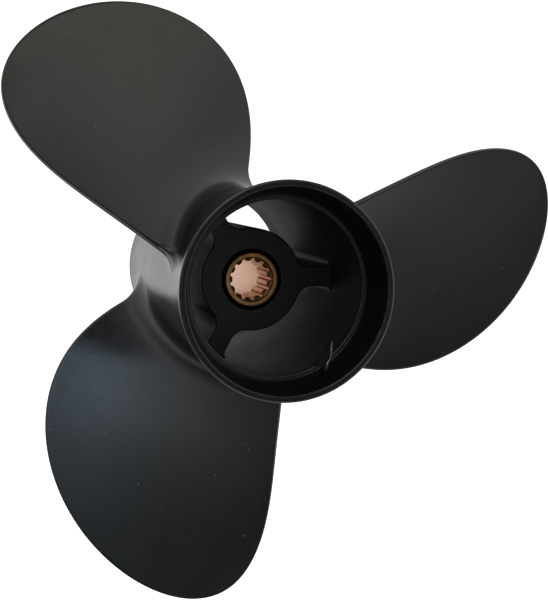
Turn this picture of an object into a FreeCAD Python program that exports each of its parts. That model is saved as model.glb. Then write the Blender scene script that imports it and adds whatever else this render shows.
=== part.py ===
import FreeCAD, Part
import math
import os

from FreeCAD import Base

# Three-bladed right-hand outboard propeller with through-hub exhaust.
# Millimetres. The shaft axis is Z. +Z points aft (the way the exhaust leaves).
# The origin is on the shaft axis, in the forward face of the drive sleeve.

V = Base.Vector
doc = FreeCAD.newDocument("boat_propeller")

# ---------------------------------------------------------------- dimensions
sheet = doc.addObject("Spreadsheet::Sheet", "Sheet")
cells = [
    # exhaust barrel (outer hub)
    ("barrel_forward_z", -2.7, "forward end of the barrel"),
    ("barrel_aft_z", 142.0, "aft end of the flared rim"),
    ("rim_radius", 46.9, "outside of the flared aft rim"),
    ("rim_bore_radius", 44.06, "inside edge of the aft rim face"),
    ("flare_root_radius", 39.53, "small end of the inner flare"),
    ("land_radius", 38.14, "inside of the flat land below the flare"),
    ("land_z", 125.5, "height of the land"),
    ("bore_radius", 37.6, "straight exhaust bore between the ribs"),
    ("bore_top_z", 88.0, "aft end of the straight bore"),
    ("lip_z", 9.0, "aft end of the forward lip taper"),
    ("lip_radius", 36.4, "inside of the forward lip"),
    ("forward_radius", 40.3, "outside of the barrel at its forward end"),
    ("barrel_mid_radius", 40.9, "outside of the barrel at its middle"),
    ("barrel_mid_z", 70.0, "height of the middle section"),
    ("split_radius", 41.0, "outside of the barrel where the diffuser ring begins"),
    ("waist_radius", 41.1, "outside of the barrel where the flare begins"),
    ("waist_z", 106.0, "height where the outside flare begins"),
    ("flare_mid_radius", 42.9, "outside of the flare beside the land"),
    ("flare_mid_z", 127.0, "height of that section"),
    ("edge_break", 0.8, "broken edges of the barrel"),
    # inner hub
    ("hub_radius", 23.45, "outside of the inner hub"),
    ("hub_bore_radius", 18.0, "bore that holds the rubber bush"),
    ("hub_hole_radius", 13.7, "hole in the aft shoulder"),
    ("hub_forward_z", 1.0, "forward face of the inner hub"),
    ("hub_aft_z", 82.4, "aft face of the inner hub"),
    ("hub_shoulder", 5.0, "thickness of the aft shoulder"),
    ("hub_edge", 0.6, "broken edges of the inner hub"),
    # ribs
    ("rib_width", 9.2, "thickness of a rib"),
    ("rib_hub_fillet", 7.0, "fillet where a rib joins the inner hub"),
    ("rib_wall_fillet", 2.5, "fillet where a rib joins the barrel"),
    ("rib_forward_z", 9.0, "forward end of the ribs"),
    ("rib_angle", 2.4, "azimuth of the first rib"),
    # drive sleeve
    ("sleeve_radius", 12.27, "outside of the sleeve"),
    ("sleeve_aft_z", 82.9, "aft face of the sleeve"),
    ("sleeve_chamfer", 0.5, "outer chamfers of the sleeve"),
    ("pilot_radius", 10.35, "plain pilot bore ahead of the spline"),
    ("spline_forward_z", 60.0, "forward end of the spline teeth"),
    ("mouth_radius", 10.05, "counterbore at the aft end"),
    ("mouth_depth", 1.8, "depth of the aft counterbore"),
    ("spline_major_radius", 9.9, "bottom of the spline grooves"),
    ("spline_minor_radius", 8.15, "tops of the spline teeth"),
    ("spline_teeth", 13, "number of spline teeth"),
    # rubber bush
    ("bush_bore_radius", 12.32, "bore of the rubber bush"),
    ("bush_forward_z", 4.0, "forward end of the rubber bush"),
    ("bush_aft_z", 77.4, "aft end of the rubber bush"),
    ("bush_recess", 2.0, "depth of the dished ends"),
    # blades
    ("tip_radius", 147.5, "blade tip radius, half the diameter"),
    ("root_radius", 41.27, "radius where the outline polynomials begin"),
    ("blade_mid_z", 64.99, "height of the reference line at the root"),
    ("pitch_root", 306.6, "helical pitch at the root"),
    ("pitch_gain", 6.7, "pitch gained from root to tip"),
    ("rake_a", 15.1, "rake, linear term"),
    ("rake_b", -13.3, "rake, quadratic term"),
    ("rake_c", 9.7, "rake, cubic term"),
    ("skew_a", -0.270, "mid-chord angle, linear term, rad"),
    ("skew_b", 0.810, "mid-chord angle, quadratic term, rad"),
    ("skew_c", -0.502, "mid-chord angle, cubic term, rad"),
    ("skew_d", 0.216, "mid-chord angle, quartic term, rad"),
    ("chord_a", 0.792, "half-chord angle, constant term, rad"),
    ("chord_b", -0.212, "half-chord angle, linear term, rad"),
    ("chord_c", 0.801, "half-chord angle, quadratic term, rad"),
    ("chord_d", -0.723, "half-chord angle, cubic term, rad"),
    ("chord_e", 0.154, "half-chord angle, quartic term, rad"),
    ("edge_thickness", 2.0, "blade thickness at its edges"),
    ("camber_thickness", 6.4, "thickness gained at the middle of the root"),
    ("face_fillet", 10.0, "root fillet on the aft, pressure face"),
    ("face_fillet_decay", 4.2, "how fast that fillet dies out"),
    ("back_fillet", 8.8, "root fillet on the forward, suction back"),
    ("back_fillet_decay", 3.4, "how fast that fillet dies out"),
    ("root_droop", 5.2, "forward droop of the trailing edge at the root"),
    ("root_droop_decay", 7.5, "how fast the droop dies out"),
    # balancing cut in the land
    ("notch_radius", 4.5, "radius of the balancing cut"),
    ("notch_angle", -56.6, "azimuth of the balancing cut at the land"),
]
for i, (alias, value, note) in enumerate(cells, start=1):
    sheet.set("A%d" % i, note)
    sheet.set("B%d" % i, repr(value))
    sheet.setAlias("B%d" % i, alias)
doc.recompute()


def D(alias):
    return float(sheet.get(alias))


def plane(body, role):
    for f in body.Origin.OriginFeatures:
        if f.Role == role:
            return f
    raise RuntimeError("no plane " + role)


def ref(expr):
    """An expression written with bare aliases, bound to the sheet."""
    out, word = "", ""
    names = [c[0] for c in cells]
    for ch in expr + " ":
        if ch.isalnum() or ch == "_":
            word += ch
        else:
            out += ("Sheet." + word) if word in names else word
            out += ch
            word = ""
    return out.strip()


def profile_sketch(body, name, points):
    """A closed polygon in the XZ plane. points = [(r expression, z expression)]."""
    sk = body.newObject("Sketcher::SketchObject", name)
    sk.AttachmentSupport = [(plane(body, "XZ_Plane"), "")]
    sk.MapMode = "FlatFace"
    xy = [(evaluate(a), evaluate(b)) for a, b in points]
    n = len(points)
    for i in range(n):
        a, b = xy[i], xy[(i + 1) % n]
        sk.addGeometry(Part.LineSegment(V(a[0], a[1], 0), V(b[0], b[1], 0)), False)
    import Sketcher
    for i in range(n):
        sk.addConstraint(Sketcher.Constraint("Coincident", i, 2, (i + 1) % n, 1))
    for i, (a, b) in enumerate(points):
        k = sk.addConstraint(Sketcher.Constraint("DistanceX", -1, 1, i, 1, xy[i][0]))
        sk.setExpression("Constraints[%d]" % k, ref(a))
        k = sk.addConstraint(Sketcher.Constraint("DistanceY", -1, 1, i, 1, xy[i][1]))
        sk.setExpression("Constraints[%d]" % k, ref(b))
    return sk


def evaluate(expr):
    # arithmetic on aliases: + - * and numbers
    total, sign, term, word = 0.0, 1.0, None, ""
    for ch in expr.replace(" ", "") + "+":
        if ch in "+-*" and (word or ch == "*"):
            val = D(word) if word in [c[0] for c in cells] else float(word)
            term = val if term is None else term * val
            word = ""
            if ch in "+-":
                total += sign * term
                sign, term = (1.0 if ch == "+" else -1.0), None
        elif ch == "-" and not word:
            sign = -sign
        else:
            word += ch
    return total


def turned(label, points):
    """A body of revolution about Z."""
    body = doc.addObject("PartDesign::Body", label + "_body")
    body.Label = label
    sk = profile_sketch(body, label + "_profile", points)
    doc.recompute()
    rev = body.newObject("PartDesign::Revolution", label + "_revolution")
    rev.Profile = sk
    rev.ReferenceAxis = (sk, ["V_Axis"])
    rev.Angle = 360.0
    body.Tip = rev
    doc.recompute()
    return body


# ---------------------------------------------------------------- exhaust barrel
barrel = turned("barrel", [
    ("lip_radius", "barrel_forward_z"),
    ("forward_radius-edge_break", "barrel_forward_z"),
    ("forward_radius", "barrel_forward_z+edge_break"),
    ("barrel_mid_radius", "barrel_mid_z"),
    ("split_radius", "bore_top_z"),
    ("bore_radius", "bore_top_z"),
    ("bore_radius", "lip_z"),
])

# ---------------------------------------------------------------- flared diffuser ring, aft end of the barrel
ring_turning = turned("ring_turning", [
    ("bore_radius", "bore_top_z"),
    ("split_radius", "bore_top_z"),
    ("waist_radius", "waist_z"),
    ("waist_radius+0.45", "waist_z+9.0"),
    ("flare_mid_radius", "flare_mid_z"),
    ("flare_mid_radius+1.9", "flare_mid_z+7.5"),
    ("rim_radius-0.25", "barrel_aft_z-2.2"),
    ("rim_radius", "barrel_aft_z-1.2"),
    ("rim_radius-0.35", "barrel_aft_z-0.35"),
    ("rim_radius-1.0", "barrel_aft_z"),
    ("rim_bore_radius", "barrel_aft_z"),
    ("flare_root_radius", "land_z"),
    ("land_radius", "land_z"),
])

# the balancing cut: a round-bottomed scoop milled through the land
na = math.radians(D("notch_angle"))
er = V(math.cos(na), math.sin(na), 0)
et = V(-math.sin(na), math.cos(na), 0)
cut_start = er * (D("land_radius") - 2.45) + V(0, 0, D("land_z"))
cut_dir = (et * 10.0 - er * 3.2 - V(0, 0, 16.0)).normalize()
cut_start = cut_start - cut_dir * 5.5
scoop = doc.addObject("Part::Cylinder", "balancing_scoop")
scoop.setExpression("Radius", ref("notch_radius"))
scoop.Height = 30.5
scoop.Placement = FreeCAD.Placement(cut_start, FreeCAD.Rotation(V(0, 0, 1), cut_dir))
diffuser_ring = doc.addObject("Part::Cut", "ring_cut")
diffuser_ring.Label = "diffuser_ring"
diffuser_ring.Base = ring_turning
diffuser_ring.Tool = scoop

# ---------------------------------------------------------------- inner hub
inner_hub = turned("inner_hub", [
    ("hub_bore_radius+1.0", "hub_forward_z"),
    ("hub_radius-hub_edge", "hub_forward_z"),
    ("hub_radius", "hub_forward_z+hub_edge"),
    ("hub_radius", "hub_aft_z-hub_edge"),
    ("hub_radius-hub_edge", "hub_aft_z"),
    ("hub_hole_radius+0.5", "hub_aft_z"),
    ("hub_hole_radius", "hub_aft_z-0.5"),
    ("hub_hole_radius", "hub_aft_z-hub_shoulder"),
    ("hub_bore_radius", "hub_aft_z-hub_shoulder"),
    ("hub_bore_radius", "hub_forward_z+1.0"),
])

# ---------------------------------------------------------------- rubber bush
rubber_bush = turned("rubber_bush", [
    ("bush_bore_radius+1.0", "bush_forward_z"),
    ("bush_bore_radius+2.2", "bush_forward_z+bush_recess"),
    ("hub_bore_radius-1.6", "bush_forward_z+bush_recess"),
    ("hub_bore_radius-0.6", "bush_forward_z"),
    ("hub_bore_radius", "bush_forward_z+0.8"),
    ("hub_bore_radius", "bush_aft_z-0.8"),
    ("hub_bore_radius-0.6", "bush_aft_z"),
    ("hub_bore_radius-1.6", "bush_aft_z-bush_recess"),
    ("bush_bore_radius+2.2", "bush_aft_z-bush_recess"),
    ("bush_bore_radius+1.0", "bush_aft_z"),
    ("bush_bore_radius", "bush_aft_z-0.8"),
    ("bush_bore_radius", "bush_forward_z+0.8"),
])

# ---------------------------------------------------------------- drive sleeve
drive_sleeve = turned("drive_sleeve", [
    ("pilot_radius", "0.0*pilot_radius"),
    ("sleeve_radius-sleeve_chamfer", "0.0*pilot_radius"),
    ("sleeve_radius", "sleeve_chamfer"),
    ("sleeve_radius", "sleeve_aft_z-sleeve_chamfer"),
    ("sleeve_radius-sleeve_chamfer", "sleeve_aft_z"),
    ("mouth_radius+0.25", "sleeve_aft_z"),
    ("mouth_radius", "sleeve_aft_z-0.25"),
    ("mouth_radius", "sleeve_aft_z-mouth_depth"),
    ("spline_minor_radius+0.35", "sleeve_aft_z-mouth_depth"),
    ("spline_minor_radius", "sleeve_aft_z-mouth_depth-0.35"),
    ("spline_minor_radius", "spline_forward_z+0.6"),
    ("spline_minor_radius+0.6", "spline_forward_z"),
    ("pilot_radius", "spline_forward_z"),
])

# one spline groove, cut right through the toothed length, then repeated
import Sketcher
groove_sketch = drive_sleeve.newObject("Sketcher::SketchObject", "spline_groove_sketch")
groove_sketch.AttachmentSupport = [(plane(drive_sleeve, "XY_Plane"), "")]
groove_sketch.MapMode = "FlatFace"
ri = D("spline_minor_radius") - 0.6
ro = D("spline_major_radius")
hi, hm, ho = 1.32, 1.02, 0.42
pts = [(ri, -hi), (ri + 0.6, -hi), (ro - 0.55, -hm + 0.1), (ro, -ho),
       (ro, ho), (ro - 0.55, hm - 0.1), (ri + 0.6, hi), (ri, hi)]
for i in range(len(pts)):
    a, b = pts[i], pts[(i + 1) % len(pts)]
    groove_sketch.addGeometry(Part.LineSegment(V(a[0], a[1], 0), V(b[0], b[1], 0)), False)
for i in range(len(pts)):
    groove_sketch.addConstraint(Sketcher.Constraint("Coincident", i, 2, (i + 1) % len(pts), 1))
rexp = {0: "spline_minor_radius-0.6", 1: "spline_minor_radius", 2: "spline_major_radius-0.55",
        3: "spline_major_radius", 4: "spline_major_radius", 5: "spline_major_radius-0.55",
        6: "spline_minor_radius", 7: "spline_minor_radius-0.6"}
for i, pnt in enumerate(pts):
    k = groove_sketch.addConstraint(Sketcher.Constraint("DistanceX", -1, 1, i, 1, pnt[0]))
    groove_sketch.setExpression("Constraints[%d]" % k, ref(rexp[i]))
    groove_sketch.addConstraint(Sketcher.Constraint("DistanceY", -1, 1, i, 1, pnt[1]))
doc.recompute()
before = drive_sleeve.Shape.Volume
groove = drive_sleeve.newObject("PartDesign::Pocket", "spline_groove")
groove.Profile = groove_sketch
groove.Type = 0
groove.Length = 82.9
groove.setExpression("Length", ref("sleeve_aft_z-0.1"))
groove.Reversed = True
drive_sleeve.Tip = groove
doc.recompute()
single = before - drive_sleeve.Shape.Volume
if single < 5.0:
    groove.Reversed = False
    doc.recompute()
    single = before - drive_sleeve.Shape.Volume
spline = drive_sleeve.newObject("PartDesign::PolarPattern", "spline_pattern")
spline.Originals = [groove]
zaxis = [f for f in drive_sleeve.Origin.OriginFeatures if f.Role == "Z_Axis"][0]
spline.Axis = (zaxis, [""])
spline.Angle = 360.0
spline.setExpression("Occurrences", ref("spline_teeth"))
drive_sleeve.Tip = spline
doc.recompute()
print("one groove removes %.1f mm3, the spline %.1f mm3" % (single, before - drive_sleeve.Shape.Volume))

# ---------------------------------------------------------------- ribs
ribs = []
for n in range(3):
    tag = "rib_%d" % (n + 1)
    F, W, H, B, w = "rib_hub_fillet", "rib_wall_fillet", "hub_radius", "bore_radius", "rib_width/2"
    hx = ref("sqrt((%s+%s)*(%s+%s)-(%s+%s)*(%s+%s))" % (H, F, H, F, w, F, w, F))
    hy = ref("(%s+%s)*%s/(%s+%s)" % (w, F, H, H, F))
    wx = ref("sqrt((%s-%s)*(%s-%s)-(%s+%s)*(%s+%s))" % (B, W, B, W, w, W, w, W))
    wy = ref("(%s+%s)*%s/(%s-%s)" % (w, W, B, B, W))

    def box(name, x0, x1, half):
        b = doc.addObject("Part::Box", tag + "_" + name)
        b.setExpression("Length", "(%s)-(%s)" % (x1, x0))
        b.setExpression("Width", "2*(%s)" % half)
        b.setExpression("Height", ref("hub_aft_z-rib_forward_z"))
        b.setExpression("Placement.Base.x", x0)
        b.setExpression("Placement.Base.y", "-(%s)" % half)
        b.setExpression("Placement.Base.z", ref("rib_forward_z"))
        return b

    def rod(name, x, y, radius):
        c = doc.addObject("Part::Cylinder", tag + "_" + name)
        c.setExpression("Radius", radius)
        c.setExpression("Height", ref("hub_aft_z-rib_forward_z+20"))
        c.setExpression("Placement.Base.x", x)
        c.setExpression("Placement.Base.y", y)
        c.setExpression("Placement.Base.z", ref("rib_forward_z-10"))
        return c

    web = box("web", ref("hub_radius-4"), ref("bore_radius+1"), ref("rib_width/2"))
    foot = box("foot", ref("hub_radius-4"), hx, hy)
    head = box("head", wx, ref("bore_radius+1"), wy)
    blank = doc.addObject("Part::MultiFuse", tag + "_blank")
    blank.Shapes = [web, foot, head]
    tools = []
    for sgn in ("", "-"):
        tools.append(rod("hub_fillet" + ("_b" if sgn else "_a"), hx, "%s(%s)" % (sgn, ref("rib_width/2+rib_hub_fillet")), ref(F)))
        tools.append(rod("wall_fillet" + ("_b" if sgn else "_a"), wx, "%s(%s)" % (sgn, ref("rib_width/2+rib_wall_fillet")), ref(W)))
    tools.append(rod("hub_clear", "0", "0", ref(H)))
    away = doc.addObject("Part::MultiFuse", tag + "_away")
    away.Shapes = tools
    cutout = doc.addObject("Part::Cut", tag + "_cut")
    cutout.Base = blank
    cutout.Tool = away
    inside = rod("bore", "0", "0", ref(B))
    rib = doc.addObject("Part::Common", tag + "_rib")
    rib.Base = cutout
    rib.Tool = inside
    rib.Label = tag
    rib.Placement = FreeCAD.Placement(V(0, 0, 0), FreeCAD.Rotation(V(0, 0, 1), D("rib_angle") + 120.0 * n))
    ribs.append(rib)
doc.recompute()

# ---------------------------------------------------------------- blades
RT, RH = D("tip_radius"), D("root_radius")


def poly(cs, x):
    return sum(c * x ** k for k, c in enumerate(cs))


SK = [0.0, D("skew_a"), D("skew_b"), D("skew_c"), D("skew_d")]
CH = [D("chord_a"), D("chord_b"), D("chord_c"), D("chord_d"), D("chord_e")]
RK = [0.0, D("rake_a"), D("rake_b"), D("rake_c")]


def frac(r):
    return (r - RH) / (RT - RH)


def pitch(r):
    return D("pitch_root") + D("pitch_gain") * frac(r)


def cos_pitch(r):
    return 1.0 / math.hypot(1.0, pitch(r) / (2 * math.pi * r))


def flare(r, side):
    # root fillet, measured square to the blade face
    if side > 0:
        return D("face_fillet") * math.exp(-max(-0.6, r - RH) / D("face_fillet_decay"))
    return D("back_fillet") * math.exp(-max(-0.6, r - RH) / D("back_fillet_decay"))


def smooth(t):
    t = min(1.0, max(0.0, t))
    return t * t * (3 - 2 * t)


def ref_z(r, th):
    droop = D("root_droop") * math.exp(-max(0.0, r - RH) / D("root_droop_decay"))
    z = D("blade_mid_z") + poly(RK, frac(r)) + pitch(r) / (2 * math.pi) * th
    return z - droop * smooth((th + 0.2) / 1.0)


def half_chord(r):
    x = frac(r)
    return math.sqrt(max(0.0, 1 - x)) * poly(CH, x)


def chord_limits(r):
    # the fillet also runs round both ends of the root section
    mid = poly(SK, frac(r))
    half = half_chord(r) + 0.9 * flare(r, -1) * cos_pitch(r) / r
    return mid - half, mid + half


def inside_measure(r, th):
    # 1 at the middle of the root, 0 at the blade's edge, never negative
    x = frac(r)
    g = (1 - x) - ((th - poly(SK, x)) / poly(CH, x)) ** 2
    return 0.5 * (g + math.sqrt(g * g + 0.0009))


def face_point(r, th, side):
    cb = cos_pitch(r)
    a = flare(r, side)
    # past the end of the root section the fillet is rounded off
    over = max(0.0, (abs(th - poly(SK, frac(r))) - half_chord(r)) * r / cb)
    a = a * math.exp(-(over / (0.62 * max(4.0, flare(r, -1)))) ** 2)
    t = D("edge_thickness") / 2 + a
    if side > 0:
        z = ref_z(r, th) + t / cb
    else:
        z = ref_z(r, th) - (t + D("camber_thickness") * inside_measure(r, th)) / cb
    return V(r * math.cos(th), r * math.sin(th), z)


def skin(side, radii, angles):
    grid = [[face_point(r, th, side) for th in angles] for r in radii]
    s = Part.BSplineSurface()
    s.interpolate(grid)
    return s


r_in = RH - 3.2
radii = [r_in + (RT + 4.0 - r_in) * (k / 39.0) ** 1.35 for k in range(40)]
angles = [math.radians(-62.0 + 124.0 * k / 43.0) for k in range(44)]
top = skin(+1, radii, angles)
low = skin(-1, radii, angles)
faces = [top.toShape(), low.toShape()]
u0, u1, v0, v1 = top.bounds()
for (a, b) in ((top.uIso(u0), low.uIso(u0)), (top.uIso(u1), low.uIso(u1)),
               (top.vIso(v0), low.vIso(v0)), (top.vIso(v1), low.vIso(v1))):
    faces.append(Part.makeRuledSurface(a.toShape(), b.toShape()))
shell = Part.makeShell(faces)
shell.sewShape()
slab = Part.Solid(shell)
if slab.Volume < 0:
    slab.reverse()
print("slab valid", slab.isValid(), "volume %.0f" % slab.Volume)

# the blade's outline, seen along the shaft: leading edge, tip, trailing edge
edge_r = [r_in + (RT - r_in) * math.sin(math.pi / 2 * k / 44.0) for k in range(45)]
outline = []
for r in edge_r[:-1]:
    th = chord_limits(r)[0]
    outline.append(V(r * math.cos(th), r * math.sin(th), 0))
tip_th = poly(SK, 1.0)
outline.append(V(RT * math.cos(tip_th), RT * math.sin(tip_th), 0))
for r in reversed(edge_r[:-1]):
    th = chord_limits(r)[1]
    outline.append(V(r * math.cos(th), r * math.sin(th), 0))
curve = Part.BSplineCurve()
curve.interpolate(outline)
close = Part.LineSegment(outline[-1], outline[0])
wire = Part.Wire([curve.toShape(), close.toShape()])
prism = Part.Face(wire).extrude(V(0, 0, 260))
prism.translate(V(0, 0, -60))

# the outside of the barrel, as a solid body of revolution, bounds the root
rim = [(0, D("barrel_forward_z")), (D("forward_radius") - D("edge_break"), D("barrel_forward_z")),
       (D("forward_radius"), D("barrel_forward_z") + D("edge_break")),
       (D("barrel_mid_radius"), D("barrel_mid_z")), (D("split_radius"), D("bore_top_z")), (D("waist_radius"), D("waist_z")),
       (D("waist_radius") + 0.45, D("waist_z") + 9.0),
       (D("flare_mid_radius"), D("flare_mid_z")), (D("flare_mid_radius") + 1.9, D("flare_mid_z") + 7.5),
       (D("rim_radius") - 0.25, D("barrel_aft_z") - 2.2), (D("rim_radius"), D("barrel_aft_z") - 1.2),
       (0, D("barrel_aft_z") - 1.2)]
env_wire = Part.makePolygon([V(a, 0, b) for a, b in rim] + [V(0, 0, D("barrel_forward_z"))])
envelope = Part.Face(env_wire).revolve(V(0, 0, 0), V(0, 0, 1), 360)

blank = slab.common(prism)
blade_shape = blank.cut(envelope)
solids = sorted(blade_shape.Solids, key=lambda q: -q.Volume)
print("blade solids", [round(q.Volume) for q in solids])
blade_shape = solids[0]
blades = []
for n in range(3):
    b = doc.addObject("Part::Feature", "blade_%d_shape" % (n + 1))
    b.Label = "blade_%d" % (n + 1)
    b.Shape = blade_shape
    b.Placement = FreeCAD.Placement(V(0, 0, 0), FreeCAD.Rotation(V(0, 0, 1), 120.0 * n))
    blades.append(b)
doc.recompute()

# ---------------------------------------------------------------- checks and files
nodes = [barrel, diffuser_ring, inner_hub] + ribs + blades + [rubber_bush, drive_sleeve]
for obj in doc.Objects:
    bad = [q for q in obj.State if q in ("Invalid", "Error")]
    if bad:
        raise RuntimeError("%s is %s" % (obj.Name, bad))
os.makedirs("parts", exist_ok=True)
for obj in nodes:
    shp = obj.Shape
    if shp.isNull() or not shp.isValid() or len(shp.Solids) < 1 or shp.Volume <= 0:
        raise RuntimeError("%s has no valid solid" % obj.Label)
    box_ = shp.BoundBox
    print("%-14s %d solid %9.0f mm3  x %.1f..%.1f  y %.1f..%.1f  z %.1f..%.1f" % (
        obj.Label, len(shp.Solids), shp.Volume, box_.XMin, box_.XMax, box_.YMin, box_.YMax, box_.ZMin, box_.ZMax))
for obj in nodes:
    obj.Shape.exportStep(os.path.join("parts", obj.Label + ".step"))
print("wrote", len(nodes), "files")
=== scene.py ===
import math

import bmesh
import bpy
import numpy as np
from mathutils import Matrix, Vector
from mathutils.geometry import tessellate_polygon


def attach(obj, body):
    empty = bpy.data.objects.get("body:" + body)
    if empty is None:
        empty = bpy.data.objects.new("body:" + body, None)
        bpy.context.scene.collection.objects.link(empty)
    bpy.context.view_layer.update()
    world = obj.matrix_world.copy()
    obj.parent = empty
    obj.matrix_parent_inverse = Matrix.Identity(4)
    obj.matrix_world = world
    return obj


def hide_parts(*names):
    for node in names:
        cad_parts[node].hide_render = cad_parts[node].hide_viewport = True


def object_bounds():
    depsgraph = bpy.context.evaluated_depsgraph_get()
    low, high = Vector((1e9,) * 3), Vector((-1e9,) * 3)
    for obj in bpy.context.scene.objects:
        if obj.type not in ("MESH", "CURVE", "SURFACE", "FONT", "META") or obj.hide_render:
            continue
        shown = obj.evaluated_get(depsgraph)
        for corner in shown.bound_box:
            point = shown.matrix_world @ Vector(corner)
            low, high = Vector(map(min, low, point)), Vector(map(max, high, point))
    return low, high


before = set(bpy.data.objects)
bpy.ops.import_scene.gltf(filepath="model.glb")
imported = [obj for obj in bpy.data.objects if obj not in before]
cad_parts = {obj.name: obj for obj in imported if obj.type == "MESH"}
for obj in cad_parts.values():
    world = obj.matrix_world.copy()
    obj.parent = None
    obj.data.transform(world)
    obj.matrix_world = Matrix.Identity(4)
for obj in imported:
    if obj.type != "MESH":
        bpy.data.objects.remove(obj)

MM = 0.001
TAU = 2 * math.pi


def as_lists(b):
    return [[float(v) for v in b[0]], [float(v) for v in b[1]]]


cad_box = as_lists(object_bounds())


# ---------------------------------------------------------------- small helpers

def smooth(x):
    x = np.clip(x, 0.0, 1.0)
    return x * x * (3 - 2 * x)


def poly(c, x):
    out = np.zeros_like(np.asarray(x, float))
    for k in reversed(c):
        out = out * x + k
    return out


def make_object(name, verts, faces, attrs=None, weld=0.004, wn=True):
    """verts in millimetres; attrs are float values per vertex"""
    me = bpy.data.meshes.new(name)
    me.from_pydata([tuple(v) for v in np.asarray(verts, float) * MM], [], [tuple(int(i) for i in f) for f in faces])
    for key, val in (attrs or {}).items():
        a = me.attributes.new(key, "FLOAT", "POINT")
        a.data.foreach_set("value", np.asarray(val, float).ravel())
    bm = bmesh.new()
    bm.from_mesh(me)
    bmesh.ops.remove_doubles(bm, verts=bm.verts, dist=weld * MM)
    bmesh.ops.dissolve_degenerate(bm, edges=bm.edges, dist=weld * 0.5 * MM)
    bmesh.ops.recalc_face_normals(bm, faces=bm.faces)
    bm.to_mesh(me)
    bm.free()
    for p in me.polygons:
        p.use_smooth = True
    ob = bpy.data.objects.new(name, me)
    bpy.context.scene.collection.objects.link(ob)
    if wn:
        m = ob.modifiers.new("normals", "WEIGHTED_NORMAL")
        m.mode = "FACE_AREA_WITH_ANGLE"
        m.weight = 40
    return ob


def rounded(points, seg=7):
    """a polyline of (r, z, corner radius) with its corners rounded"""
    pts = [np.array(p[:2], float) for p in points]
    out = [pts[0]]
    for i in range(1, len(pts) - 1):
        a, b, c = pts[i - 1], pts[i], pts[i + 1]
        rad = points[i][2]
        u, v = a - b, c - b
        lu, lv = np.linalg.norm(u), np.linalg.norm(v)
        u, v = u / lu, v / lv
        ang = math.acos(float(np.clip(np.dot(u, v), -1, 1)))
        if rad <= 0 or ang > 3.1:
            out.append(b)
            continue
        t = min(rad / math.tan(ang / 2), 0.48 * min(lu, lv))
        rad = t * math.tan(ang / 2)
        bis = (u + v) / np.linalg.norm(u + v)
        cen = b + bis * rad / math.sin(ang / 2)
        p0, p1 = b + u * t, b + v * t
        a0 = math.atan2(*(p0 - cen)[::-1])
        a1 = math.atan2(*(p1 - cen)[::-1])
        d = (a1 - a0 + math.pi) % TAU - math.pi
        for k in range(seg + 1):
            w = a0 + d * k / seg
            out.append(cen + rad * np.array([math.cos(w), math.sin(w)]))
    out.append(pts[-1])
    return out


def spline(points, step):
    """smooth curve through (x, y) points, sampled about every step"""
    p = np.asarray(points, float)
    p = np.vstack([2 * p[0] - p[1], p, 2 * p[-1] - p[-2]])
    out = []
    for i in range(1, len(p) - 2):
        n = max(2, int(np.linalg.norm(p[i + 1] - p[i]) / step))
        for k in range(n):
            t = k / n
            out.append(0.5 * (2 * p[i] + (p[i + 1] - p[i - 1]) * t
                              + (2 * p[i - 1] - 5 * p[i] + 4 * p[i + 1] - p[i + 2]) * t * t
                              + (3 * p[i] - p[i - 1] - 3 * p[i + 1] + p[i + 2]) * t ** 3))
    out.append(p[-2])
    return out


def densify(pts, step):
    out = [pts[0]]
    for a, b in zip(pts[:-1], pts[1:]):
        n = max(1, int(math.ceil(np.linalg.norm(np.asarray(b) - np.asarray(a)) / step)))
        for k in range(1, n + 1):
            out.append(np.asarray(a) + (np.asarray(b) - np.asarray(a)) * k / n)
    return out


def spin(profile, angles, closed=True):
    """a surface of revolution grid: returns verts, faces; profile is (r, z)"""
    pr = np.asarray(profile, float)
    n, m = len(angles), len(pr)
    ang = np.asarray(angles)[:, None]
    v = np.stack([pr[None, :, 0] * np.cos(ang), pr[None, :, 0] * np.sin(ang), np.broadcast_to(pr[None, :, 1], (n, m))], -1)
    faces = []
    for i in range(n):
        j = (i + 1) % n
        for k in range(m if closed else m - 1):
            q = (k + 1) % m
            faces.append((i * m + k, j * m + k, j * m + q, i * m + q))
    return v.reshape(-1, 3), faces


# ---------------------------------------------------------------- dimensions, mm

RH, RT = 41.27, 147.5
SK = [0, -.270, .810, -.502, .216]
CH = [.792, -.212, .801, -.723, .154]
RK = [0, 15.1, -13.3, 9.7]
BLADES = [0.0, math.radians(120), math.radians(240)]
RIBS = [math.radians(2.4), math.radians(122.4), math.radians(242.4)]
ZA, ZL = 142.0, 125.5

OUTER = spline([(40.32, -1.6), (40.45, 12), (40.62, 35), (40.82, 62), (40.98, 88), (41.12, 104), (41.52, 114.5), (42.35, 123), (43.45, 130), (44.85, 135.2), (46.35, 138.6)], 2.2)
OUTER_R = np.array([p[0] for p in OUTER])
OUTER_Z = np.array([p[1] for p in OUTER])


def barrel_r(z):
    return np.interp(z, OUTER_Z, OUTER_R)


# ---------------------------------------------------------------- barrel

head = rounded([(46.35, 138.6, 0), (46.9, 139.9, .9), (46.9, 141.3, .5), (46.2, 142.0, .75), (44.1, 142.0, .55), (39.62, 125.55, .35), (38.05, 125.45, .55), (37.86, 123.0, .3), (37.6, 88.0, 30.0),
                (37.6, 9.0, 3.0), (36.4, -2.2, .5), (36.9, -2.7, .5), (39.6, -2.7, .6), (40.3, -1.95, .5), (40.32, -1.6, 0)], 6)
profile = [np.array(p) for p in OUTER[:-1]] + [np.array(p) for p in densify(head, 1.1)][:-1]

# finer round the milled notch
fine0, fine1 = math.radians(-72), math.radians(-30)
ANG = np.concatenate([np.linspace(fine0, fine1, 190, endpoint=False), np.linspace(fine1, fine0 + TAU, 250, endpoint=False)])

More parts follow.
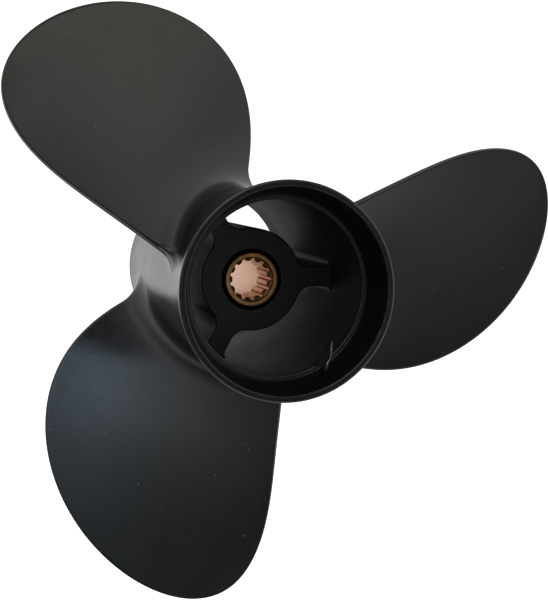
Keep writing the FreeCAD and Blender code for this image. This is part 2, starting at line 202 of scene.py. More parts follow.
# a finer profile on the bore near the land, where the notch is
prof = []
for a, b in zip(profile, profile[1:] + profile[:1]):
    n = 1
    if 100 < a[1] < 127.5 and a[0] < 41 and b[0] < 41:
        n = max(1, int(math.ceil(np.linalg.norm(b - a) / 0.3)))
    for k in range(n):
        prof.append(a + (b - a) * k / n)
profile = prof

bv, bf = spin(profile, ANG)
r = np.hypot(bv[:, 0], bv[:, 1])
th = np.arctan2(bv[:, 1], bv[:, 0])
z = bv[:, 2]

# the milled notch: a round-nosed cutter that ran into the bore from the land
na = math.radians(-56.6)
er = np.array([math.cos(na), math.sin(na), 0.0])
et = np.array([-math.sin(na), math.cos(na), 0.0])
cdir = et * 10.0 - er * 3.2 - np.array([0, 0, 16.0])
cdir /= np.linalg.norm(cdir)
c0 = er * 35.15 + np.array([0, 0, ZL])
CR = 4.5
inner = (r < 43.0) & (z > 95) & (z < 134)
ray = np.stack([np.cos(th), np.sin(th), np.zeros_like(th)], -1)
base = np.stack([np.zeros_like(z), np.zeros_like(z), z], -1) - c0
pa = ray - (ray @ cdir)[:, None] * cdir
pb = base - (base @ cdir)[:, None] * cdir
qa = (pa ** 2).sum(1)
qb = 2 * (pa * pb).sum(1)
qc = (pb ** 2).sum(1) - CR ** 2
disc = qb ** 2 - 4 * qa * qc
rcut = np.where(disc > 0, (-qb + np.sqrt(np.maximum(disc, 0))) / (2 * qa), 0)
along = (base + ray * rcut[:, None]) @ cdir
rcut = np.where((along > -6.5) & (along < 17) & (rcut < 43), rcut, 0)
depth = np.where(inner, rcut - r, -1)
cut = depth > 0
newr = np.where(cut, rcut, r)
near = np.where(inner & (rcut > 0), np.clip(1 - np.abs(rcut - r) / 0.35, 0, 1), 0)

# small cast marks in the bore: a short ridge and a pit
ridge = np.exp(-((z - 62.3 - 2.0 * np.sin((th + .7) * 6)) / .55) ** 2) * smooth((th - math.radians(-46.4)) / .03) * smooth((math.radians(-34.4) - th) / .03)
pit = np.exp(-(((th - math.radians(-81.7)) * 37.6 / .9) ** 2 + ((z - 63.2) / .8) ** 2))
onbore = (r < 38.0) & (z < 90)
newr = newr - np.where(onbore, .17 * ridge, 0) + np.where(onbore, .2 * pit, 0)
k = newr / r
bv[:, 0] *= k
bv[:, 1] *= k

# rims and land edges marked for paint worn thin and for a painted highlight where these edges catch light
edge_wear_and_highlight = np.zeros(len(bv))
pz, prr = z, r
edge_wear_and_highlight = np.maximum(edge_wear_and_highlight, np.exp(-(((prr - 46.85) / .5) ** 2 + ((pz - 141.0) / .9) ** 2)))
edge_wear_and_highlight = np.maximum(edge_wear_and_highlight, .9 * np.exp(-(((prr - 44.1) / .35) ** 2 + ((pz - 141.9) / .5) ** 2)))
edge_wear_and_highlight = np.maximum(edge_wear_and_highlight, .8 * np.exp(-(((prr - 38.1) / .35) ** 2 + ((pz - 125.4) / .5) ** 2)))
pt = base + ray * np.maximum(r, rcut)[:, None]
lat = np.cross(cdir, er)
lat /= np.linalg.norm(lat)
if lat @ et < 0:
    lat = -lat
side = pt @ lat
# the rim of the milled notch: bare worn metal, painted near white as a highlight
wear_and_highlight = near * smooth((side - .2) / 1.0) * smooth((z - 113.5) / 3.0)
milled = np.where(cut, np.clip(depth / .25, 0, 1), 0)
bore = ((r < 39.0) & (z < 125.3)).astype(float)
barrel = make_object("barrel_casting", bv, bf, {"edge_wear_and_highlight": edge_wear_and_highlight, "wear_and_highlight": wear_and_highlight, "milled": milled, "cast": bore}, weld=0.02)


# ---------------------------------------------------------------- inner hub and ribs, one star

def star_contour():
    """points round the hub and the three ribs, anticlockwise, with a flag for hub arcs and one for the part buried in the barrel"""
    RB, RW, HW, F1, F2, DEEP = 23.45, 37.6, 4.6, 7.0, 2.5, 38.7
    cx1 = math.sqrt((RB + F1) ** 2 - (HW + F1) ** 2)
    t1 = math.atan2(HW + F1, cx1)
    cx2 = math.sqrt((RW - F2) ** 2 - (HW + F2) ** 2)
    t2 = math.atan2(HW + F2, cx2)
    half = []
    for k in range(16):
        a = -math.pi / 3 + (math.pi / 3 - t1) * k / 16
        half.append((RB * math.cos(a), RB * math.sin(a), 0.0, 0.0))
    for k in range(13):
        a = (math.pi - t1) + (math.pi / 2 - (math.pi - t1)) * k / 12
        half.append((cx1 + F1 * math.cos(a), -(HW + F1) + F1 * math.sin(a), k / 12, 0.0))
    for k in range(1, 5):
        half.append((cx1 + (cx2 - cx1) * k / 5, -HW, 1.0, 0.0))
    for k in range(13):
        a = math.pi / 2 + (-t2 - math.pi / 2) * k / 12
        half.append((cx2 + F2 * math.cos(a), -(HW + F2) + F2 * math.sin(a), 1 - k / 12, 0.0))
    half.append((DEEP * math.cos(t2), -DEEP * math.sin(t2), 0.0, 1.0))
    for k in range(1, 4):
        a = -t2 * (1 - k / 4)
        half.append((DEEP * math.cos(a), DEEP * math.sin(a), 0.0, 1.0))
    full = half + [(DEEP, 0, 0.0, 1.0)] + [(x, -y, w, b) for x, y, w, b in reversed(half[1:])]
    out = []
    for a in RIBS:
        ca, sa = math.cos(a), math.sin(a)
        out += [(x * ca - y * sa, x * sa + y * ca, w, b) for x, y, w, b in full]
    return np.array(out)


SC = star_contour()


def inward(xy):
    t = np.roll(xy, -1, 0) - np.roll(xy, 1, 0)
    n = np.stack([-t[:, 1], t[:, 0]], -1)
    return n / np.linalg.norm(n, axis=1)[:, None]


def star():
    xy = SC[:, :2]
    n = inward(xy)
    buried = SC[:, 3]
    rings = []
    ra = .7
    zt, zb = 82.4, 9.0
    rings.append((xy + n * (ra + .35), zt))
    for k in range(0, 9):
        f = math.pi / 2 * (1 - k / 8)
        rings.append((xy + n * ra * (1 - math.cos(f)), zt - ra + ra * math.sin(f)))
    for zz in np.linspace(zt - ra, zb + 2.0, 20)[1:]:
        rings.append((xy, zz))
    w = smooth(SC[:, 2])[:, None]
    for k in range(1, 9):
        f = math.pi / 2 * k / 8
        rings.append((xy + n * w * 2.0 * (1 - math.cos(f)), zb + 2.0 - 2.0 * math.sin(f)))
    v, f = [], []
    m = len(xy)
    for p, zz in rings:
        v += [(a, b, zz) for a, b in p]
    for i in range(len(rings) - 1):
        for j in range(m):
            q = (j + 1) % m
            f.append((i * m + j, i * m + q, (i + 1) * m + q, (i + 1) * m + j))
    N = 144
    circ = lambda rad, zz: [(rad * math.cos(TAU * i / N), rad * math.sin(TAU * i / N), zz) for i in range(N)]
    tube = [(14.25, 82.4), (14.05, 82.33), (13.86, 82.12), (13.8, 81.8), (13.7, 77.6), (13.9, 77.4), (18.0, 77.4), (18.0, 9.0)]
    o = len(v)
    for rad, zz in tube:
        v += circ(rad, zz)
    for i in range(len(tube) - 1):
        for j in range(N):
            q = (j + 1) % N
            f.append((o + i * N + j, o + i * N + q, o + (i + 1) * N + q, o + (i + 1) * N + j))
    # the flat aft face, with a ring of its own round the hole, and the forward face
    for ring, start, zz in ((0, o, zt), (len(rings) - 1, o + (len(tube) - 1) * N, zb)):
        a = list(range(ring * m, ring * m + m))
        b = list(range(start, start + N))
        idx = a + b
        tri = tessellate_polygon([[Vector(v[i]) for i in a], [Vector(v[i]) for i in b]])
        for t in tri:
            f.append(tuple(idx[i] for i in t))
    v = np.array(v)
    e = np.zeros(len(v))
    # the aft face's rim gets the same mark: worn paint plus a painted highlight
    for i, (p, zz) in enumerate(rings[:12]):
        e[i * m:(i + 1) * m] = .35 * math.exp(-((zz - (zt - .5)) / .45) ** 2)
    return v, f, e


v, f, e = star()
hub = make_object("hub_casting", v, f, {"edge_wear_and_highlight": e, "wear_and_highlight": e * 0, "milled": e * 0, "cast": np.where(v[:, 2] < 81.5, 1.0, .4)}, weld=0.003)
nose_profile = rounded([(18.0, 10.5, 0), (18.0, 1.0, .6), (23.45, 1.0, 1.6), (23.45, 9.0, 0), (23.3, 9.03, 0), (23.3, 10.5, 0), (18.0, 10.5, 0)], 6)[:-1]
v, f = spin(densify(nose_profile, 1.5), np.linspace(0, TAU, 144, endpoint=False))
hub_nose = make_object("hub_nose_casting", v, f, {"edge_wear_and_highlight": np.zeros(len(v)), "wear_and_highlight": np.zeros(len(v)), "milled": np.zeros(len(v))})


# ---------------------------------------------------------------- blades

def pitch_mm(rr):
    return 306.6 + 6.7 * (rr - RH) / (RT - RH)


def helix(rr):
    t = pitch_mm(rr) / (TAU * rr)
    c = 1 / np.sqrt(1 + t * t)
    return t * c, c


def ref_z(rr, tt):
    x = (rr - RH) / (RT - RH)
    return (64.99 + poly(RK, x) + pitch_mm(rr) / TAU * tt
            - 5.2 * np.exp(-np.maximum(0, rr - RH) / 7.5) * smooth((tt + .2) / 1.0))


def inside(rr, tt):
    x = (rr - RH) / (RT - RH)
    g = (1 - x) - ((tt - poly(SK, x)) / poly(CH, x)) ** 2
    return 0.5 * (g + np.sqrt(g * g + .0009))


ROOT_MAX = 12.0
ROOT_P, ROOT_S, ROOT_TOE = 11.0, 11.0, 6.5


def outline(v):
    x = 1 - v * v
    return RH + x * (RT - RH), poly(SK, x) + v * poly(CH, x)


def blade_rows():
    """rows from the tip to the root: (v, height over the barrel when within the fillet)"""
    vf = math.sqrt(1 - ROOT_MAX / (RT - RH))
    rows = [(vf * k / 72, None) for k in range(73)]
    for k in range(1, 27):
        h = ROOT_MAX * (1 - math.sin(math.pi / 2 * k / 26))
        rows.append((math.sqrt(1 - h / (RT - RH)), h))
    return rows


def blade(azimuth):
    c = np.linspace(-1, 1, 57)
    c = c * (1.16 - .16 * c * c)
    c /= c[-1]
    M = len(c)
    NN = 30
    psi = np.linspace(0, math.pi, NN + 2)[1:-1]
    verts, edges, faces = [], [], []
    rows = blade_rows()
    eps = 1e-4
    for v, high in rows:
        side = []
        for s in (-1, 1):
            r0, t0 = outline(s * v)
            ra, ta = outline(s * v - eps)
            rb, tb = outline(s * v + eps)
            T = np.array([rb - ra, r0 * (tb - ta), ref_z(rb, tb) - ref_z(ra, ta)])
            zr = (ref_z(r0 + .01, t0) - ref_z(r0 - .01, t0)) / .02
            zt = (ref_z(r0, t0 + .0005) - ref_z(r0, t0 - .0005)) / .001 / r0
            N = np.array([-zr, -zt, 1.0])
            d = np.cross(N, T)
            d /= np.linalg.norm(d)
            if d @ np.array([95.0 - r0, r0 * (.12 - t0), 0]) < 0 and abs(v) > .02:
                d = -d
            if abs(v) <= .02 and d[0] > 0:
                d = -d
            w = 1 - float(smooth((r0 - RH - ROOT_MAX) / 14.0))
            d[0] *= 1 - w
            d[2] = zr * d[0] + zt * d[1]
            d /= np.linalg.norm(d)
            te = float(smooth((s * v + .2) / .4))
            R = 1.7 + (.75 - 1.7) * te
            p = 2.0 + 1.3 * te * (1 - w)
            side.append((r0 + R * d[0], t0 + R * d[1] / r0, d, R, p))
        (rl, tl, dl, Rl, pl), (rr_, tr, dr, Rr, pr) = side
        mixw = (c + 1) / 2
        R_ = rl + (rr_ - rl) * mixw
        T_ = tl + (tr - tl) * mixw

        def faces_at(rad, tt):
            sb, cb = helix(rad)
            zz = ref_z(rad, tt)
            toe = smooth(c) * smooth((abs(v) - .12) / .3)
            ts = 1.0 - .2 * toe + 6.4 * inside(rad, tt)
            tp = 1.0 + .9 * toe
            return (np.stack([rad, tt - tp * sb / rad, zz + tp * cb], -1),
                    np.stack([rad, tt + ts * sb / rad, zz - ts * cb], -1))
        P, S = faces_at(R_, T_)

        def nose(pp, ss, d, R, p, sign):
            C = (pp + ss) / 2
            h = (pp - ss) / 2
            out = []
            for a in psi if sign > 0 else psi[::-1]:
                cc = math.copysign(abs(math.cos(a)) ** (2 / p), math.cos(a))
                sn = abs(math.sin(a)) ** (2 / p)
                rad = C[0] - d[0] * R * sn
                out.append((rad, C[1] + h[1] * cc - d[1] * R * sn / C[0], C[2] + h[2] * cc - d[2] * R * sn))
            return np.array(out)
        te_n = nose(P[-1], S[-1], dr, Rr, pr, 1)
        le_n = nose(P[0], S[0], dl, Rl, pl, -1)
        loop = np.vstack([P, te_n, S[::-1], le_n])
        eat = np.concatenate([np.zeros(M), np.ones(NN), np.zeros(M), np.ones(NN)])
        if high is not None:
            uz = np.stack([loop[:, 0] * loop[:, 1], loop[:, 2]], -1)
            nx, pv = np.roll(uz, -1, 0) - uz, uz - np.roll(uz, 1, 0)
            ln, lp = np.linalg.norm(nx, axis=1)[:, None] + 1e-9, np.linalg.norm(pv, axis=1)[:, None] + 1e-9
            t = nx / ln * lp + pv / lp * ln
            n = np.stack([-t[:, 1], t[:, 0]], -1)
            n /= np.linalg.norm(n, axis=1)[:, None]
            sb, cb = helix(RH)
            turn = n[:, 0] * sb - n[:, 1] * cb               # -1 on the pressure side, 1 on the suction side
            along_c = np.concatenate([c, np.ones(NN), c[::-1], -np.ones(NN)])
            rad_s = ROOT_S + (ROOT_TOE - ROOT_S) * smooth((along_c - .45) / .55)
            rf = ROOT_P + (rad_s - ROOT_P) * smooth((turn + .75) / 1.1)
            hh = np.minimum(1.0, high / rf)
            off = rf * (1 - np.sqrt(np.maximum(0, 1 - (1 - hh) ** 2)))
            uz = uz + n * off[:, None]
            zz = uz[:, 1]
            lay = (1 - high / ROOT_MAX)
            rad = loop[:, 0] + (barrel_r(zz) - RH) * lay - .035 * lay ** 8
            loop = np.stack([rad, uz[:, 0] / loop[:, 0], zz], -1)
            eat = eat * 0
        verts.append(loop)
        edges.append(eat)
    last = verts[-1].copy()
    last[:, 0] -= 1.6
    verts.append(last)
    edges.append(edges[-1] * 0)
    L = len(last)
    n = len(verts)
    for i in range(n - 1):
        for j in range(L):
            q = (j + 1) % L
            faces.append((i * L + j, i * L + q, (i + 1) * L + q, (i + 1) * L + j))
    o = (n - 1) * L
    for j in range(M - 1):
        faces.append((o + j, o + j + 1, o + 2 * M + NN - 2 - j, o + 2 * M + NN - 1 - j))
    faces.append(tuple([o + M - 1 + k for k in range(NN + 2)]))
    faces.append(tuple([o + 2 * M + NN - 1 + k for k in range(NN + 1)] + [o]))
    a = np.vstack(verts)
    # slight waviness of a cast blade, nothing at the root
    wave = .10 * np.sin(a[:, 0] * .09 + 2.0 * a[:, 1] + azimuth) * np.sin(a[:, 1] * 5.0 + .04 * a[:, 0] + 1.7 * azimuth)
    a[:, 2] += wave * smooth((a[:, 0] - 58) / 25)
    xyz = np.stack([a[:, 0] * np.cos(a[:, 1] + azimuth), a[:, 0] * np.sin(a[:, 1] + azimuth), a[:, 2]], -1)
    return xyz, faces, np.concatenate(edges)


blades = []
for i, az in enumerate(BLADES):
    v, f, e = blade(az)
    # the blades' leading and trailing edges get a faint touch of the worn-paint and painted-highlight mark
    blades.append(make_object("blade_casting_%d" % (i + 1), v, f, {"edge_wear_and_highlight": e * .06, "wear_and_highlight": e * 0, "milled": e * 0}, weld=0.004, wn=False))


# ---------------------------------------------------------------- bronze sleeve

def spline_loop(minor, major, teeth=13, top=.50, bot=.36, per=40):
    """one radius per angle: teeth pointing in, flanks slightly sloped, corners soft"""
    a = np.linspace(0, TAU, teeth * per, endpoint=False)
    ph = np.abs(((a * teeth / TAU + .5) % 1) - .5) * 2      # 0 at a groove's middle, 1 at a tooth's middle
    s = smooth((ph - bot) / (top - bot))
    return a, major + (minor - major) * s


def sleeve():
    minor, major = 8.35, 9.72
    a, rad = spline_loop(minor, major, bot=.16, top=.64)
    n = len(a)
    rings = []
    add = lambda rr, zz: rings.append((np.broadcast_to(np.asarray(rr, float), (n,)), zz))
    # outside, from the aft face forward, then back through the bore
    add(10.55, 82.9)
    for rr, zz in ((11.0, 82.9), (11.85, 82.9), (12.08, 82.82), (12.22, 82.62), (12.27, 82.35), (12.27, 60), (12.27, 30), (12.27, .5), (12.12, .12), (11.8, 0), (10.9, 0), (10.6, .12), (10.4, .45)):
        add(rr, zz)
    for zz in (10, 20, 30, 40, 50, 58.6, 59.3):
        add(10.38, zz)
    # forward lead-in of the teeth
    add(np.minimum(10.3, np.maximum(rad, 9.95)), 59.6)
    for k in range(1, 6):
        add(np.maximum(rad, 9.95 - (9.95 - minor) * k / 5), 59.6 + 1.5 * k / 5)
    for zz in np.linspace(61.4, 79.9, 12):
        add(rad, zz)
    for k in range(1, 6):
        add(np.maximum(rad, minor + (9.95 - minor) * (k / 5) ** 1.2), 79.9 + 1.2 * k / 5)
    add(np.full(n, 10.0), 81.12)
    for rr, zz in ((10.05, 81.3), (10.06, 82.0), (10.08, 82.45), (10.2, 82.72), (10.36, 82.86)):
        add(rr, zz)
    v, f, painted_sheen = [], [], []
    for rr, zz in rings:
        v += [(rr[i] * math.cos(a[i]), rr[i] * math.sin(a[i]), zz) for i in range(n)]
        # painted light: tooth tips (half) and the bore ahead of the teeth (full) get a paler bronze as a painted
        # highlight, leaving the grooves darker as painted shade
        painted_sheen += [float(np.clip((major - .3 - rr[i]) / .8, 0, 1)) * .5 if 59.4 < zz < 81.2 else (1.0 if .4 < zz < 59.4 and rr[i] < 10.5 else 0.0) for i in range(n)]
    m = len(rings)
    for i in range(m):
        k = (i + 1) % m
        for j in range(n):
            q = (j + 1) % n
            f.append((i * n + j, i * n + q, k * n + q, k * n + j))
    return np.array(v), f, np.array(painted_sheen)


v, f, e = sleeve()
sleeve_ob = make_object("bronze_sleeve", v, f, {"painted_sheen": e}, weld=0.002)


# ---------------------------------------------------------------- rubber bush

rub = []
for k in range(13):
    t = k / 12
    rub.append((12.32 + (17.95 - 12.32) * t, 77.25 - 2.1 * math.sin(math.pi * t) ** .8 - .1 * t))
rub = [(12.32, 77.3)] + rub + [(17.95, 70), (17.95, 40), (17.95, 12)]
for k in range(13):
    t = 1 - k / 12
    rub.append((12.32 + (17.95 - 12.32) * t, 4.2 + 2.1 * math.sin(math.pi * t) ** .8))
rub += [(12.32, 12), (12.32, 40), (12.32, 70)]
v, f = spin(densify([np.array(p) for p in rub], 4.0), np.linspace(0, TAU, 160, endpoint=False))
a = np.arctan2(v[:, 1], v[:, 0])
end = np.clip((v[:, 2] - 74) / 3, 0, 1) * np.clip((np.hypot(v[:, 0], v[:, 1]) - 12.4) / .5, 0, 1)
v[:, 2] += end * .12 * np.sin(a * 9 + 1.3 * np.sin(a * 4))
rubber = make_object("rubber_bush_part", v, f, {}, weld=0.004)


# ---------------------------------------------------------------- materials

def nodes(name):
    m = bpy.data.materials.new(name)
    m.use_nodes = True
    nt = m.node_tree
    return m, nt, nt.nodes["Principled BSDF"]


def add(nt, kind, **kw):
    n = nt.nodes.new(kind)
    for k, val in kw.items():
        if k in n.inputs:
            n.inputs[k].default_value = val
        else:
            setattr(n, k, val)
    return n


def ramp(nt, src, stops):
    n = nt.nodes.new("ShaderNodeValToRGB")
    nt.links.new(src, n.inputs[0])
    el = n.color_ramp.elements
    while len(el) < len(stops):
        el.new(.5)
    for e_, (p, c_) in zip(el, stops):
        e_.position = p
        e_.color = c_ if len(c_) == 4 else (*c_, 1)
    return n


def noise(nt, co, scale, detail=3.0, rough=.55, dist=0.0):
    n = nt.nodes.new("ShaderNodeTexNoise")
    n.inputs["Scale"].default_value = scale
    n.inputs["Detail"].default_value = detail
    n.inputs["Roughness"].default_value = rough
    n.inputs["Distortion"].default_value = dist
    nt.links.new(co, n.inputs["Vector"])
    return n


def mixc(nt, fac, a, b):
    n = nt.nodes.new("ShaderNodeMix")
    n.data_type = "RGBA"
    for sock, val in ((n.inputs[0], fac), (n.inputs[6], a), (n.inputs[7], b)):
        if hasattr(val, "is_output"):
            nt.links.new(val, sock)
        else:
            sock.default_value = val if isinstance(val, (int, float)) else ((*val, 1) if len(val) == 3 else val)
    return n.outputs[2]


def math_node(nt, op, a, b=None, clamp=False):
    n = nt.nodes.new("ShaderNodeMath")
    n.operation = op
    n.use_clamp = clamp
    for sock, val in ((n.inputs[0], a), (n.inputs[1], b)):
        if val is None:
            continue
        if hasattr(val, "is_output"):
            nt.links.new(val, sock)
        else:
            sock.default_value = val
    return n.outputs[0]


def attribute(nt, name):
    n = nt.nodes.new("ShaderNodeAttribute")
    n.attribute_name = name
    return n.outputs["Fac"]


def satin_paint():
    m, nt, b = nodes("satin_black_paint")
    co = nt.nodes.new("ShaderNodeTexCoord").outputs["Object"]
    broad = noise(nt, co, 22, 3).outputs["Fac"]
    mid = noise(nt, co, 140, 4, .6).outputs["Fac"]
    peel = noise(nt, co, 1100, 2, .5).outputs["Fac"]
    col = ramp(nt, broad, [(.30, (.0028, .0031, .0026)), (.72, (.0046, .0049, .0042))]).outputs[0]
    col = mixc(nt, math_node(nt, "MULTIPLY", math_node(nt, "SUBTRACT", mid, .52, True), 1.2, True), col, (.0075, .0078, .007))
    # dust and tiny specks
    sp = nt.nodes.new("ShaderNodeTexVoronoi")
    sp.inputs["Scale"].default_value = 150
    sp.inputs["Randomness"].default_value = 1.0
    nt.links.new(co, sp.inputs["Vector"])
    dot = math_node(nt, "LESS_THAN", sp.outputs["Distance"], .045)
    pick = math_node(nt, "GREATER_THAN", noise(nt, co, 75, 1).outputs["Fac"], .53)
    speck = math_node(nt, "MULTIPLY", dot, pick)
    col = mixc(nt, math_node(nt, "MULTIPLY", speck, .75), col, (.20, .20, .185))
    # paint thins at worked edges; the same mask also lightens them as a painted highlight where they catch light
    e_ = attribute(nt, "edge_wear_and_highlight")
    brk = noise(nt, co, 420, 4, .65).outputs["Fac"]
    ed = math_node(nt, "MULTIPLY", e_, math_node(nt, "MULTIPLY", math_node(nt, "SUBTRACT", brk, .34, True), 2.0, True), True)
    col = mixc(nt, ed, col, (.055, .057, .052))
    milled = attribute(nt, "milled")
    col = mixc(nt, milled, col, (.014, .014, .005))
    # notch rim painted near white: worn bare metal plus a painted highlight
    wear_and_highlight = attribute(nt, "wear_and_highlight")
    wear_highlight_mask = math_node(nt, "MULTIPLY", wear_and_highlight, math_node(nt, "MULTIPLY", math_node(nt, "SUBTRACT", brk, .30, True), 4.0, True), True)
    col = mixc(nt, wear_highlight_mask, col, (.88, .86, .76))
    nt.links.new(col, b.inputs["Base Color"])
    rough = math_node(nt, "ADD", .285, math_node(nt, "MULTIPLY", math_node(nt, "SUBTRACT", mid, .5), .16))
    rough = math_node(nt, "ADD", rough, math_node(nt, "MULTIPLY", math_node(nt, "SUBTRACT", broad, .5), .10))
    rough = math_node(nt, "ADD", rough, math_node(nt, "MULTIPLY", attribute(nt, "cast"), .17))
    nt.links.new(rough, b.inputs["Roughness"])
    b.inputs["IOR"].default_value = 1.5
    h = math_node(nt, "ADD", math_node(nt, "MULTIPLY", peel, .45), math_node(nt, "MULTIPLY", mid, 1.0))
    h = math_node(nt, "ADD", h, math_node(nt, "MULTIPLY", speck, .8))
    bp = nt.nodes.new("ShaderNodeBump")
    bp.inputs["Strength"].default_value = .55
    bp.inputs["Distance"].default_value = .00003
    nt.links.new(h, bp.inputs["Height"])
    nt.links.new(bp.outputs[0], b.inputs["Normal"])
    return m


def bronze():
    m, nt, b = nodes("bronze_machined")
    co = nt.nodes.new("ShaderNodeTexCoord").outputs["Object"]
    broad = noise(nt, co, 260, 4, .6, .4).outputs["Fac"]
    fine = noise(nt, co, 2600, 3, .6).outputs["Fac"]
    col = ramp(nt, broad, [(.30, (.46, .215, .095)), (.55, (.62, .315, .145)), (.75, (.74, .42, .23))]).outputs[0]
    col = mixc(nt, math_node(nt, "MULTIPLY", math_node(nt, "SUBTRACT", fine, .48, True), 1.6, True), col, (.26, .15, .085))
    # paler bronze on the tooth tips and the bore: a painted highlight
    sheen_mask = attribute(nt, "painted_sheen")
    col = mixc(nt, math_node(nt, "MULTIPLY", sheen_mask, .5), col, (.84, .60, .45))
    nt.links.new(col, b.inputs["Base Color"])
    b.inputs["Metallic"].default_value = 1.0
    # turning marks: rings along the radius and the length
    sx = nt.nodes.new("ShaderNodeSeparateXYZ")
    nt.links.new(co, sx.inputs[0])
    rad = math_node(nt, "SQRT", math_node(nt, "ADD", math_node(nt, "POWER", sx.outputs[0], 2.0), math_node(nt, "POWER", sx.outputs[1], 2.0)))
    cx = nt.nodes.new("ShaderNodeCombineXYZ")
    nt.links.new(rad, cx.inputs[0])
    nt.links.new(sx.outputs[2], cx.inputs[2])
    rings = noise(nt, cx.outputs[0], 5200, 2, .5).outputs["Fac"]
    rough = math_node(nt, "ADD", .36, math_node(nt, "MULTIPLY", math_node(nt, "SUBTRACT", broad, .5), .22))
    nt.links.new(rough, b.inputs["Roughness"])
    bp = nt.nodes.new("ShaderNodeBump")
    bp.inputs["Strength"].default_value = .5
    bp.inputs["Distance"].default_value = .000012
    nt.links.new(math_node(nt, "ADD", rings, math_node(nt, "MULTIPLY", fine, .6)), bp.inputs["Height"])
    nt.links.new(bp.outputs[0], b.inputs["Normal"])
    return m


def black_rubber():
    m, nt, b = nodes("black_rubber")
    co = nt.nodes.new("ShaderNodeTexCoord").outputs["Object"]
    broad = noise(nt, co, 180, 4, .6).outputs["Fac"]
    fine = noise(nt, co, 2400, 3).outputs["Fac"]
    col = ramp(nt, broad, [(.3, (.008, .008, .008)), (.7, (.017, .017, .016))]).outputs[0]
    nt.links.new(col, b.inputs["Base Color"])
    nt.links.new(math_node(nt, "ADD", .58, math_node(nt, "MULTIPLY", broad, .22)), b.inputs["Roughness"])
    bp = nt.nodes.new("ShaderNodeBump")
    bp.inputs["Strength"].default_value = .5
    bp.inputs["Distance"].default_value = .00004
    nt.links.new(fine, bp.inputs["Height"])
    nt.links.new(bp.outputs[0], b.inputs["Normal"])
    return m


PAINT, BRONZE, RUBBER = satin_paint(), bronze(), black_rubber()


def dress(ob, mat):
    ob.data.materials.clear()
    ob.data.materials.append(mat)


for ob in [barrel, hub, hub_nose] + blades:
    dress(ob, PAINT)
    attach(ob, "casting")
dress(sleeve_ob, BRONZE)
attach(sleeve_ob, "sleeve")
dress(rubber, RUBBER)
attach(rubber, "casting")
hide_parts("barrel", "diffuser_ring")
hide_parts("inner_hub", "rib_1", "rib_2", "rib_3")
for i, ob in enumerate(blades):
    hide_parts("blade_%d" % (i + 1))
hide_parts("drive_sleeve")
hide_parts("rubber_bush")


# ---------------------------------------------------------------- floor, light, camera

def stage_mesh(name, verts, faces, strength, base, seen):
    me = bpy.data.meshes.new(name)
    me.from_pydata(verts, [], faces)
    ob = bpy.data.objects.new(name, me)
    bpy.context.scene.collection.objects.link(ob)
    m, nt, b = nodes(name + "_finish")
    b.inputs["Base Color"].default_value = (base, base, base, 1)
    b.inputs["Roughness"].default_value = .8
    b.inputs["Emission Color"].default_value = (1, 1, 1, 1)
    b.inputs["Emission Strength"].default_value = strength
    me.materials.append(m)
    ob.visible_camera = seen
    if seen:
        ob.visible_diffuse = ob.visible_glossy = ob.visible_transmission = ob.visible_shadow = False
    return ob


S4, ZF = 4.0, cad_box[0][2] - .0002
square = [(-S4, -S4, ZF), (S4, -S4, ZF), (S4, S4, ZF), (-S4, S4, ZF)]
stage_mesh("floor", square, [(0, 1, 2, 3)], 1.0, .5, True)
glow = stage_mesh("floor_glow", square, [(0, 1, 2, 3)], 1.0, .05, False)
gt = glow.data.materials[0].node_tree
gco = gt.nodes.new("ShaderNodeTexCoord").outputs["Object"]
gx = gt.nodes.new("ShaderNodeSeparateXYZ")
gt.links.new(gco, gx.inputs[0])
grad = math_node(gt, "SQRT", math_node(gt, "ADD", math_node(gt, "POWER", gx.outputs[0], 2.0), math_node(gt, "POWER", gx.outputs[1], 2.0)))
# the hidden glow floor lights the propeller from below; its glow is dimmed in a ring under the barrel as a painted
# shadow of the propeller, and leans brighter towards -x as a painted pool of light
base = ramp(gt, math_node(gt, "MULTIPLY", grad, 5.0, True), [(0.0, (.90,) * 3), (.055, (.90,) * 3), (.085, (.42,) * 3), (.195, (.42,) * 3), (.215, (.92,) * 3), (1.0, (.85,) * 3)])
lean = math_node(gt, "DIVIDE", math_node(gt, "ADD", math_node(gt, "MULTIPLY", gx.outputs[0], -.95), math_node(gt, "MULTIPLY", gx.outputs[1], .05)), math_node(gt, "ADD", grad, .02))
power = math_node(gt, "MULTIPLY", base.outputs[0], math_node(gt, "ADD", 1.0, math_node(gt, "MULTIPLY", lean, .35)))
gt.links.new(power, gt.nodes["Principled BSDF"].inputs["Emission Strength"])
dome_v, dome_f = spin([(3.99 * math.cos(t), ZF + 3.99 * math.sin(t)) for t in np.linspace(0, math.pi / 2 - .01, 16)], np.linspace(0, TAU, 48, endpoint=False), closed=False)
stage_mesh("backdrop", [tuple(p) for p in dome_v], dome_f, 1.0, .0, True)

# soft studio light: a dim room and large soft boxes, each (azimuth, elevation, sharpness, colour)
SOFT = [
    (15, 25, 12.0, (.97, .96, .88)),
    (120, 15, 5.0, (.94, .985, 1.05)),
    (-60, 35, 12.0, (.45, .44, .45)),
    (120, 45, 40.0, (.78, .99, 1.26)),
    (180, 35, 24.0, (.41, .41, .37)),
    (30, 45, 24.0, (.61, .64, .56)),
    (45, 5, 12.0, (.57, .55, .54)),
    (-30, 5, 12.0, (1.0, 1.06, 1.06)),
    (-105, -5, 12.0, (1.76, 1.83, 1.97)),
    (105, 35, 24.0, (.75, 1.09, 1.48)),
    (150, 35, 40.0, (.45, .51, .46)),
    (-135, 75, 40.0, (.60, .65, .61)),
    (0, 45, 40.0, (.95, 1.02, .79)),
]
world = bpy.data.worlds.new("studio")
bpy.context.scene.world = world
world.use_nodes = True
wt = world.node_tree
direction = wt.nodes.new("ShaderNodeTexCoord").outputs["Generated"]
total = None
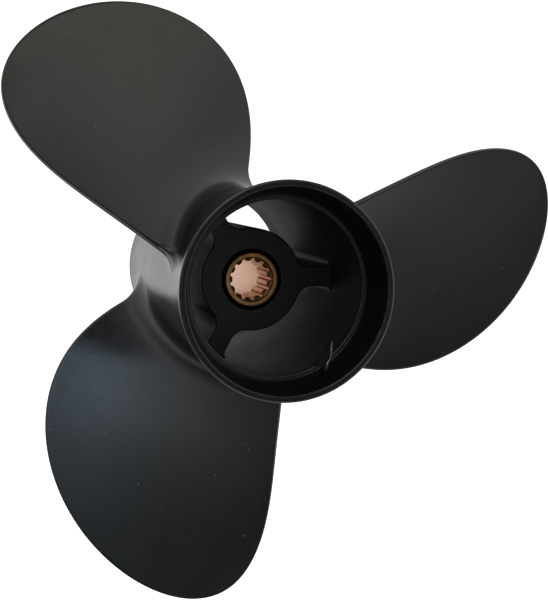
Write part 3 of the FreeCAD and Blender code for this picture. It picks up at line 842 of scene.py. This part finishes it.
for az, el, kap, tint in SOFT:
    az, el = math.radians(az), math.radians(el)
    dn = wt.nodes.new("ShaderNodeVectorMath")
    dn.operation = "DOT_PRODUCT"
    wt.links.new(direction, dn.inputs[0])
    dn.inputs[1].default_value = (math.cos(az) * math.cos(el), math.sin(az) * math.cos(el), math.sin(el))
    ex = math_node(wt, "EXPONENT", math_node(wt, "MULTIPLY", math_node(wt, "SUBTRACT", dn.outputs["Value"], 1.0), kap))
    sc = wt.nodes.new("ShaderNodeVectorMath")
    sc.operation = "SCALE"
    sc.inputs[0].default_value = tint
    wt.links.new(ex, sc.inputs["Scale"])
    if total is None:
        total = sc.outputs[0]
    else:
        ad = wt.nodes.new("ShaderNodeVectorMath")
        ad.operation = "ADD"
        wt.links.new(total, ad.inputs[0])
        wt.links.new(sc.outputs[0], ad.inputs[1])
        total = ad.outputs[0]
ad = wt.nodes.new("ShaderNodeVectorMath")
ad.operation = "ADD"
ad.inputs[1].default_value = (.039, .05, .032)
wt.links.new(total, ad.inputs[0])
wt.links.new(ad.outputs[0], wt.nodes["Background"].inputs[0])
wt.nodes["Background"].inputs[1].default_value = 1.0


ax, ay = .2900, .1063
a = np.array([ax, ay, -1.0])
a /= np.linalg.norm(a)
xr = np.array([1.0, 0, 0]) - a[0] * a
xr /= np.linalg.norm(xr)
yr = np.cross(a, xr)
RM = np.stack([xr, yr, a], 1)          # columns
tvec = np.array([.1361, -.0690, 13.5584])
pos_fit = -RM.T @ tvec
g = math.radians(.91)
RZ = np.array([[math.cos(g), -math.sin(g), 0], [math.sin(g), math.cos(g), 0], [0, 0, 1]])
pos = RZ @ pos_fit * 46.9 * MM + np.array([0, 0, ZA * MM])
X, Y, Z = RZ @ RM[0], RZ @ -RM[1], RZ @ -RM[2]
cam = bpy.data.cameras.new("camera")
cam.sensor_width = 36
cam.sensor_fit = "AUTO"
cam.lens = 1526.7079 * 36 / 600
cam.clip_start = .01
cam.clip_end = 50
co = bpy.data.objects.new("camera", cam)
bpy.context.scene.collection.objects.link(co)
co.matrix_world = Matrix(((X[0], Y[0], Z[0], pos[0]), (X[1], Y[1], Z[1], pos[1]), (X[2], Y[2], Z[2], pos[2]), (0, 0, 0, 1)))
bpy.context.scene.camera = co

vs = bpy.context.scene.view_settings
vs.view_transform = "Standard"
vs.look = "None"
